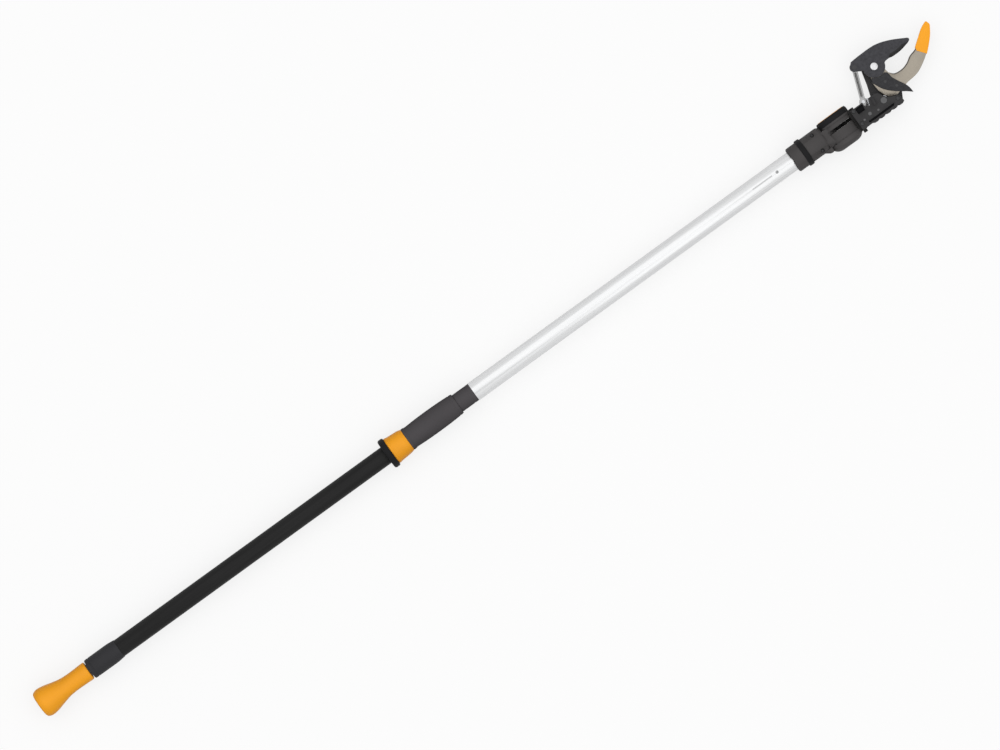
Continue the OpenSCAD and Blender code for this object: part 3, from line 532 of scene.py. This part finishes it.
key_side = [(1240.5, 12.9), (1241.2, 13.6), (1273.8, 13.6), (1274.5, 12.9)]
key_half = 0.78
key_block = bmesh.new()
rows = []
for x, z in key_side:
    rows.append([key_block.verts.new(Vector((x, y, z)) * mm) for y in (-key_half, key_half)])
for one, two in zip(rows, rows[1:] + rows[:1]):
    key_block.faces.new((one[0], one[1], two[1], two[0]))
key_block.faces.new([row[0] for row in rows])
key_block.faces.new([row[1] for row in rows])
tube_key = into_object("tube_slot_key", key_block, 35)
key_grey = metal("dull_slot_key", (0.5, 0.5, 0.505), 0.4, 420.0, (0.05, 1.0, 1.0), 0.00001)
tube_key.data.materials.append(key_grey)
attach(tube_key, "pole")


def joined(name, parts, sharp_deg=50):
    """One piece from like parts."""
    bm = bmesh.new()
    for part in parts:
        bm.from_mesh(part.data)
        bpy.data.objects.remove(part)
    return into_object(name, bm, sharp_deg)


def upright(x, y, flip=False):
    """Place that stands a turned outline on the jaw plane at x, y, head up or head down."""
    stand = Matrix(((0, 1, 0), (0, 0, 1), (1, 0, 0))).to_4x4()
    over = Matrix.Rotation(math.pi, 4, "X") if flip else Matrix.Identity(4)
    return Matrix.Translation((x, y, 0)) @ over @ stand


rivet_outline = eased([(10.3, 0, 0), (10.3, 2.2, 0), (14.75, 2.2, 0.5), (15.1, 1.3, 0.5), (15.1, 0.75, 0.1),
                       (14.8, 0.6, 0.1), (14.8, 0, 0)], False)
guide_x = 1283
rivets = [turned("rivet", rivet_outline, False, upright(guide_x, 0, flip), 32) for flip in (False, True)]
tube_rivets = joined("cord_guide_rivets", rivets)
rivet_grey = metal("dull_rivet_steel", (0.34, 0.34, 0.345), 0.4, 500.0, (1.0, 1.0, 1.0), 0.00002)
tube_rivets.data.materials.append(rivet_grey)
fit(tube_rivets, "pole", "steel_hardware", "tube_rivets")
dress(nylon, "cord_guide")

# Socket housing: two moulded halves of glass filled nylon, clamped round the silver tube by two screws.
# Their far end is the round drum that the head tilts on; a black collar hides the mouth of the socket.
housing_grain = moulded("glass_filled_nylon", (0.074, 0.07, 0.07), 0.55, 800.0, 0.00009, 0.1)


def moved_level(level, to):
    """Shaper that brings all corners at one height across the pole (mm) to another."""
    def shape(bm):
        for v in bm.verts:
            if abs(v.co.y - level * mm) < 1e-5:
                v.co.y = to * mm
    return shape


drum_top = 8.7
drum_foot = -17.5
socket_end = 1365.5
closer = 0.26
ear_reach = 1.35


def drum_faces(bm):
    """Bring the drum's end faces, and the socket's end beside it, within a hair of the yoke's ears."""
    moved_level(drum_top, drum_top + closer)(bm)
    moved_level(drum_foot, drum_foot - closer)(bm)
    for v in bm.verts:
        beside = v.co.y > (drum_top + 0.2) * mm or v.co.y < (drum_foot - 0.2) * mm
        if beside and abs(v.co.x - socket_end * mm) < 1e-5:
            v.co.x = (socket_end + ear_reach) * mm


for half, node in (("front", "housing_front"), ("rear", "housing_rear")):
    shell = softened("socket_half_" + half, node, 0.7, shape=drum_faces, shortest=0.0)
    shell.data.materials.append(housing_grain)
    fit(shell, "pole", "housing_plastic", node)
collar_corners = [(1327, 19.02, 0), (1327, 20.2, 0.8), (1328.2, 21, 0.8), (1333.8, 21, 0.8),
                  (1335, 20.2, 0.8), (1335, 19.02, 0)]
collar = turned("socket_collar_band", eased(collar_corners, True), True)
collar.data.materials.append(black_mould)
fit(collar, "pole", "black_plastic", "socket_collar")


def hexed(outline, place, rings, sides=48):
    """A turned screw whose named rings are drawn as a hexagon, for a socket or a nut."""
    part = turned("screw", outline, False, place, sides)
    home = place.inverted()
    starts = []
    total = 0
    for a, r in outline:
        starts.append(total)
        total += sides if r > 1e-6 else 1
    for i in rings:
        for k in range(sides):
            vertex = part.data.vertices[starts[i] + k]
            turn = 2 * math.pi * k / sides
            fold = (turn + math.pi / 6) % (math.pi / 3) - math.pi / 6
            spot = home @ (vertex.co / mm)
            grow = math.cos(math.pi / 6) / math.cos(fold)
            vertex.co = (place @ Vector((spot.x, spot.y * grow, spot.z * grow))) * mm
    return part


def through_screw(x, y, low, high, shank, head, head_h):
    """Clamping screw with a round head at each end and a hexagon socket in both."""
    socket = head * 0.55
    half_outline = [(high, shank), (high, head), (high + head_h * 0.55, head),
                    (high + head_h * 0.9, head * 0.86), (high + head_h, head * 0.66),
                    (high + head_h, socket), (high + head_h * 0.35, socket), (high + head_h * 0.35, 0)]
    lower = [(low - (a - high), r) for a, r in reversed(half_outline)]
    outline = lower + half_outline
    count = len(outline)
    return hexed(outline, upright(x, y), (1, 2, count - 3, count - 2))


black_oxide = metal("black_oxide_steel", (0.06, 0.06, 0.062), 0.42, 600.0, (1.0, 1.0, 1.0), 0.00002)
screw_x = 1353
screw_shank = 1.5
screw_head = 2.8
screw_head_h = 1.6
screws = [through_screw(screw_x, y, -8, 8, screw_shank, screw_head, screw_head_h) for y in (-13, 13)]
housing_screws = joined("housing_clamp_screws", screws)
housing_screws.data.materials.append(black_oxide)
fit(housing_screws, "pole", "steel_hardware", "housing_screws")
dress(black_oxide, "tilt_post", "tilt_bolt")

# Tilt joint: the black cast yoke of the head straddles the drum with two round ears.
# A domed cap closes it below; above, a bezel holds the orange lock button on its wave spring.
tilt_x = 1391.0
ear_r = 24.0
yoke_black = moulded("cast_yoke_black", (0.024, 0.023, 0.023), 0.5, 700.0, 0.00008, 0.1)


web_half = 2.2


def full_web(bm):
    """Let the yoke's web fill the drum's slit to a hair."""
    moved_level(web_half, web_half + closer)(bm)
    moved_level(-web_half, -web_half - closer)(bm)


yoke = softened("tilt_yoke", "yoke", 0.6, shape=full_web)
yoke.data.materials.append(yoke_black)
yoke.data.materials.append(housing_grain)
for face in yoke.data.polygons:
    reach = math.hypot(face.center.x / mm - tilt_x, face.center.z / mm)
    if abs(reach - ear_r) < 0.8 and abs(face.normal.y) < 0.9 and face.center.x / mm < tilt_x + 22:
        face.material_index = 1
fit(yoke, "head", "black_plastic", "yoke")
across_pole = Matrix.Translation((tilt_x, 0, 0)) @ Matrix(((0, 0, 1), (1, 0, 0), (0, 1, 0))).to_4x4()
cap_flow = swept([(-24.4, 23.6), (-26.2, 21.9), (-28, 19.4), (-29.3, 16.2), (-29.9, 13)], 5)
cap_outline = [Vector((-27.7, 0)), Vector((-27.7, 7.3)), Vector((-24, 7.3)), Vector((-24, ear_r))]
cap_outline += cap_flow
cap_outline += [Vector((-30, 11.6)), Vector((-30, 5.2)), Vector((-29.6, 4.8)), Vector((-29.6, 0))]
tilt_cap = turned("tilt_dome_cap", cap_outline, False, across_pole)
tilt_cap.data.materials.append(housing_grain)
fit(tilt_cap, "head", "black_plastic", "tilt_cap")
bezel_corners = [(12, 22.1, 0), (12, 25, 0.5), (18.4, 25, 1.6), (21, 23.6, 1.0), (21, 22.1, 0.5)]
bezel = turned("button_bezel", eased(bezel_corners, True), True, across_pole)
bezel.data.materials.append(black_mould)
fit(bezel, "head", "black_plastic", "bezel")
button_corners = [(15.5, 0, 0), (15.5, 21.8, 0.3), (20.4, 21.8, 0.9), (21.5, 20.8, 0.9), (21.5, 19.4, 0.5),
                  (20.7, 18.6, 0.6), (20.7, 0, 0)]
lock_button = turned("tilt_lock_button", eased(button_corners, False), False, across_pole)
lock_button.data.materials.append(orange_satin)
fit(lock_button, "button", "orange_plastic", "lock_button")
mark_corners = [(20.4, 0, 0), (20.4, 3.4, 0), (20.78, 3.4, 0.2), (20.9, 2.6, 0.3), (20.62, 1.6, 0.4),
                (20.6, 0, 0)]
press_mark = turned("button_press_mark", eased(mark_corners, False), False, across_pole, 40)
press_mark.data.materials.append(black_mould)
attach(press_mark, "button")
dress(zinc, "button_spring", "lock_stem")
bead_half = 2.45
bead_r = 6.8
bead_corners = [(-bead_half, 0, 0), (-bead_half, bead_r, 0.15), (bead_half, bead_r, 0.15), (bead_half, 0, 0)]
bend_bead = turned("cord_bend_bead", eased(bead_corners, False), False, across_pole, 48)
bend_bead.data.materials.append(black_mould)
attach(bend_bead, "pole")

# Head frame: two black plates, moulded ribs and all, screwed to the yoke and to a steel spacer.
# Between them run the crank, the cord drum and its return spring; two studs hold the front plate.


def carved(piece, cutter, sharp_deg=35):
    """Cut a piece by another one; the cut faces take the cutter's finish."""
    knife = piece.modifiers.new("knife", "BOOLEAN")
    knife.operation = "DIFFERENCE"
    knife.solver = "EXACT"
    knife.material_mode = "TRANSFER"
    knife.object = cutter
    bpy.context.view_layer.update()
    now = bpy.context.evaluated_depsgraph_get()
    shaped = bpy.data.meshes.new_from_object(piece.evaluated_get(now))
    bm = bmesh.new()
    bm.from_mesh(shaped)
    trued(bm)
    bm.to_mesh(shaped)
    bm.free()
    shaped.set_sharp_from_angle(angle=math.radians(sharp_deg))
    piece.modifiers.clear()
    piece.data = shaped
    bpy.data.objects.remove(cutter)


def prism(name, outline, low, high, draft):
    """Upright block on an outline in mm, wider by its draft at the high end."""
    bm = bmesh.new()
    middle = sum(outline, Vector((0, 0))) / len(outline)
    rows = []
    for z, grow in ((low, 0.0), (high, draft)):
        row = []
        for point in outline:
            out = (point - middle).normalized() * grow
            row.append(bm.verts.new(Vector((point.x + out.x, point.y + out.y, z)) * mm))
        rows.append(row)
    count = len(outline)
    for k in range(count):
        j = (k + 1) % count
        bm.faces.new((rows[0][k], rows[0][j], rows[1][j], rows[1][k]))
    bm.faces.new(rows[0])
    bm.faces.new(rows[1])
    return into_object(name, bm, 35)


def rounded(corners):
    """Closed outline in the jaw plane with each corner (x, y, fillet) rounded."""
    return eased(corners, True)


front_face = 14.6
rear_face = -13
frame_nylon = moulded("frame_plate_nylon", (0.042, 0.041, 0.042), 0.5, 800.0, 0.00008, 0.1)
front_plate = softened("frame_plate_front", "front_cheek", 0.5)
front_plate.data.materials.append(frame_nylon)
# The cut faces of the first and third sunk panels take this near black, darker than the plate: painted shade
# in the recesses.
recess_shade_paint = moulded("painted_shade_recess_black", (0.006, 0.006, 0.007), 0.6, 800.0, 0.00008, 0.06)
sunk_panels = [
    ([(1424, -1.5, 1.2), (1434.6, -1.5, 1.2), (1435.6, 7, 1.2), (1424, 7, 1.2)], 12.1, recess_shade_paint),
    ([(1448.5, -4.5, 1.5), (1453.5, -4.5, 1.5), (1455, 6.5, 1.5), (1449.5, 6.5, 1.5)], 13.6, frame_nylon),
    ([(1430, -20.5, 1.2), (1471, -20.5, 1.2), (1474, -17.5, 1.2), (1430, -17.5, 1.2)], 13.0, recess_shade_paint),
    ([(1436.8, 0.2, 1.5), (1444.6, 0.2, 1.5), (1448, 10.5, 0.5), (1438, 10.5, 0.5)], 11.0, frame_nylon),
]
for panel, bed, finish in sunk_panels:
    cutter = prism("panel_cutter", rounded(panel), bed, front_face + 0.4, 0.4)
    cutter.data.materials.append(finish)
    carved(front_plate, cutter)
fit(front_plate, "head", "black_plastic", "front_cheek")
rear_plate = softened("frame_plate_rear", "rear_cheek", 0.5)
rear_plate.data.materials.append(frame_nylon)
rear_panels = [
    [(1425, -14, 1.5), (1456, -14, 1.5), (1456, 5.5, 1.5), (1425, 5.5, 1.5)],
    [(1466, 8, 1.5), (1474, 2, 1.5), (1480, 6, 1.5), (1473, 28, 1.5), (1468, 28, 1.5)],
]
# The cut faces take the black plastic, darker than the plate: painted shade in the recesses.
for panel in rear_panels:
    cutter = prism("panel_cutter", rounded(panel), -11.7, rear_face - 0.4, 0.5)
    cutter.data.materials.append(black_mould)
    carved(rear_plate, cutter)
fit(rear_plate, "head", "black_plastic", "rear_cheek")
frame_spots = [(1420, -15), (1420, 6), (1482, -15.6)]
screws = []
for x, y in frame_spots:
    screws.append(through_screw(x, y, rear_face, front_face, screw_shank, screw_head, screw_head_h))
frame_screws = joined("frame_plate_screws", screws)
frame_screws.data.materials.append(black_oxide)
fit(frame_screws, "head", "steel_hardware", "cheek_screws")
dress(zinc, "frame_spacer", "return_spring")
worn_stud = metal("worn_stud_steel", (0.11, 0.11, 0.112), 0.42, 600.0, (1.0, 1.0, 1.0), 0.00002)
dress(worn_stud, "cheek_studs", "crank_axle", "drum_axle")

# Fixed jaw: a ground steel hook and the dark guard plate beside it, riveted to the rear frame plate.
# An orange moulded sleeve covers the hook's point.
ground_steel = metal("ground_hook_steel", (0.32, 0.288, 0.24), 0.34, 700.0, (1.0, 0.12, 1.0), 0.00002)
hook = softened("fixed_hook", "hook", 0.5)
hook.data.materials.append(ground_steel)
pivot = Vector((1481.6, 40.6))


def grinding_wedge(line, width, drop, top, material):
    """Wedge along a line in mm, left side inward, that grinds a slope into a plate's face.

    It runs out over the first and the last sixth of the line.
    """
    bm = bmesh.new()
    last = len(line) - 1
    rings = []
    for i, here in enumerate(line):
        run = (line[min(i + 1, last)] - line[max(i - 1, 0)]).normalized()
        inward = Vector((-run.y, run.x))
        wide = width * min(1.0, 0.08 + 6 * i / last, 0.08 + 6 * (last - i) / last)
        fall = drop * wide / width
        inner = here + inward * wide
        outer = here - inward * wide
        section = ((outer, top - 2 * fall), (inner, top), (inner, top + 3), (outer, top + 3))
        rings.append([bm.verts.new(Vector((spot.x, spot.y, z)) * mm) for spot, z in section])
    for one, two in zip(rings, rings[1:]):
        for k in range(4):
            j = (k + 1) % 4
            bm.faces.new((one[k], one[j], two[j], two[k]))
    bm.faces.new(rings[0])
    bm.faces.new(rings[-1])
    wedge = into_object("grinding_wedge", bm, 35)
    wedge.data.materials.append(material)
    return wedge


# The ground chamfer along the hook's inner edge is painted darker than the hook: painted shade on the slope.
hook_chamfer_shade = metal("painted_shade_hook_chamfer", (0.15, 0.135, 0.12), 0.4, 900.0, (0.15, 1.0, 1.0), 0.00002)
hook_edge = swept([(86.5, 3.9), (70.5, -7.7), (61, -14.4), (50.5, -17.3), (41, -23), (30.5, -26),
                   (18.5, -24.8), (12, -18.5)], 10)
hook_edge = [point + pivot for point in hook_edge[10:]]
hook_bevel = 1.7
hook_top = 0.0
carved(hook, grinding_wedge(hook_edge, hook_bevel, hook_bevel, hook_top, hook_chamfer_shade))
fit(hook, "head", "bright_steel", "hook")


point_from = pivot.x + 95
point_round = 2.1


def round_point(bm):
    """Round the two full-height corners of the sleeve's far end, and close the nick at its mouth."""
    bmesh.ops.remove_doubles(bm, verts=bm.verts, dist=0.3 * mm)
    corners = []
    gentle = []
    for e in bm.edges:
        one, two = (v.co / mm for v in e.verts)
        full_height = abs(one.z - two.z) > 6 and (one.xy - two.xy).length < 0.01
        if not full_height or one.x < point_from:
            continue
        if e.calc_face_angle(0.0) > math.radians(30):
            corners.append(e)
        else:
            gentle.append(e)
    bmesh.ops.dissolve_edges(bm, edges=gentle, use_verts=True)
    bmesh.ops.bevel(bm, geom=corners, offset=point_round * mm, segments=6, profile=0.5, affect="EDGES",
                    clamp_overlap=True)


hook_tip = softened("hook_point_sleeve", "hook_tip", 0.5, shape=round_point)
hook_tip.data.materials.append(orange_satin)
fit(hook_tip, "head", "orange_plastic", "hook_tip")
jaw_guard = softened("hook_guard_plate", "jaw_guard", 0.4)
guard_coat = coated("dark_guard_coat", (0.036, 0.036, 0.039), 0.4, (1.0, 1.0, 1.0), 0.12)
jaw_guard.data.materials.append(guard_coat)
fit(jaw_guard, "head", "coated_steel", "jaw_guard")
dress(black_oxide, "jaw_rivet_pair")
bright_steel = metal("bright_bolt_steel", (0.62, 0.62, 0.63), 0.22, 900.0, (1.0, 1.0, 1.0), 0.00001)
bolt_outline = [(-17, 0), (-17, 3.6), (-16.6, 4), (4.8, 4), (4.8, 5.3), (5.0, 5.5), (6.6, 5.5), (7.0, 5.3),
                (7.3, 4.7), (7.3, 3.1), (5.9, 3.1), (5.9, 0)]
pivot_bolt = hexed(bolt_outline, upright(pivot.x, pivot.y), (9, 10))
pivot_bolt.name = "blade_pivot_bolt"
pivot_bolt.data.materials.append(bright_steel)
fit(pivot_bolt, "head", "steel_hardware", "pivot_bolt")
pivot_nut = softened("blade_pivot_nut", "pivot_nut", 0.3)
pivot_nut.data.materials.append(zinc)
fit(pivot_nut, "head", "steel_hardware", "pivot_nut")

# Moving blade: stamped from steel plate, ground along its lower edge and coated dark slate.
# It turns on the pivot bolt; a riveted pin at its heel takes the link.
slate_coat = coated("slate_blade_coat", (0.05, 0.05, 0.056), 0.36, (1.0, 1.0, 1.0), 0.13)


def fair_tip(bm):
    """Merge the closest points of the blade's tip, which would stop its edges from being broken."""
    bmesh.ops.remove_doubles(bm, verts=bm.verts, dist=0.35 * mm)


blade = softened("moving_blade", "blade", 0.4, shape=fair_tip)
blade.data.materials.append(slate_coat)


def tooth_row(line, pitch, width, drop, top, material):
    """Row of small V cutters laid across a ground slope, square to its edge, that fade out uphill."""
    bm = bmesh.new()
    slope = drop / width
    gone = 0.0
    for one, two in zip(line[3:-3], line[4:-2]):
        gone += (two - one).length
        if gone < pitch:
            continue
        gone -= pitch
        run = (two - one).normalized()
        inward = Vector((-run.y, run.x))
        ends = []
        for reach, sink in ((-1.0, 0.55), (width * 0.8, -0.1)):
            z = top - drop + slope * reach
            foot = two + inward * reach
            row = []
            for side, rise in ((-0.8, 0.5), (0.0, -sink), (0.8, 0.5)):
                spot = foot + run * side
                row.append(bm.verts.new(Vector((spot.x, spot.y, z + rise)) * mm))
            ends.append(row)
        for k in range(3):
            j = (k + 1) % 3
            bm.faces.new((ends[0][k], ends[0][j], ends[1][j], ends[1][k]))
        bm.faces.new(ends[0])
        bm.faces.new(ends[1])
    cutters = into_object("tooth_row", bm, 35)
    cutters.data.materials.append(material)
    return cutters


# The ground slope along the blade's lower edge and its teeth are painted near black: painted shade on the
# bevel, which faces away from the light.
blade_bevel_shade = coated("painted_shade_blade_bevel", (0.011, 0.011, 0.012), 0.4, (1.0, 1.0, 1.0), 0.3)
blade_edge = swept([(17, -3.5), (24, -2.9), (30, -4), (39, -4.2), (47, -3.4), (58.5, -0.8)], 24)
blade_edge = [point + pivot for point in blade_edge[24:]]
blade_top = 4.75
edge_width = 5.2
edge_drop = 3.9
tooth_pitch = 2.4
carved(blade, grinding_wedge(blade_edge, edge_width, edge_drop, blade_top, blade_bevel_shade))
carved(blade, tooth_row(blade_edge, tooth_pitch, edge_width, edge_drop, blade_top, blade_bevel_shade))
fit(blade, "cutter", "coated_steel", "blade")
dress(black_oxide, "upper_link_pin")

# Crank train: the link pulls the blade, the crank pulls the link, and the cord drum's pinion turns
# the crank's gear sector. All are steel but the drum, which is nylon wound with one lap of cord.
link_steel = metal("drawn_link_steel", (0.36, 0.36, 0.36), 0.3, 700.0, (1.0, 0.3, 1.0), 0.00002)
pin_high = Vector((1458.3, 55.8))
pin_low = Vector((1440.7, 9.1))
along_link = (pin_low - pin_high).normalized()
beside_link = Vector((-along_link.y, along_link.x))
eye_r = 4
foot_more = 3.6


def longer_foot(bm):
    """Draw the link's foot out past its lower pin, round its eye."""
    for v in bm.verts:
        spot = v.co.xy / mm - pin_low
        if spot.dot(along_link) > 0.3 and spot.length > eye_r:
            v.co.xy += along_link * foot_more * mm


link_bar = softened("pull_link", "link_bar", 0.5, shape=longer_foot)
link_bar.data.materials.append(link_steel)
groove = []
for reach, side in ((8, -1.2), (8, 1.2), (42, 1.2), (42, -1.2)):
    spot = pin_high + along_link * reach + beside_link * side
    groove.append((spot.x, spot.y, 1.1))
groove_cutter = prism("groove_cutter", rounded(groove), -1.6, 0.0, 0.15)
# The groove's faces are darker than the link's steel: painted shade in the groove.
link_groove_shade = metal("painted_shade_link_groove", (0.2, 0.2, 0.196), 0.45, 700.0, (1.0, 0.3, 1.0), 0.00002)
groove_cutter.data.materials.append(link_groove_shade)
carved(link_bar, groove_cutter)
fit(link_bar, "link", "bright_steel", "link_bar")
dress(zinc, "crank_gear", "lower_link_pin")
dress(nylon, "cord_drum")
drum_x = 1437.28
drum_y = -10.0
groove_z = 3.9
wind_r = 10.02
lap = []
for k in range(120):
    turn = math.radians(-210 + 300 * k / 119)
    lap.append(Vector((drum_x + wind_r * math.cos(turn), drum_y + wind_r * math.sin(turn), groove_z)))
drum_cord = twisted_cord("drum_cord_lap", lap, cord_r - 0.02, cord_lay)
drum_cord.data.materials.append(cord_yarn)
fit(drum_cord, "drum", "cord", "drum_cord")
head_rise = math.atan2(groove_z, drum_x - tilt_x)
way = Vector((math.cos(head_rise), 0, math.sin(head_rise)))
bend_gap = tilt_x - cord_bend
drum_gap = 3.5
start = Vector((tilt_x, 0, 0)) + way * bend_gap
stop = start + way * (drum_x - tilt_x - bend_gap - drum_gap)
head_cord = twisted_cord("head_cord_strands", straight(start, stop, 0.8), cord_r, cord_lay)
head_cord.data.materials.append(cord_yarn)
fit(head_cord, "head", "cord", "head_cord")
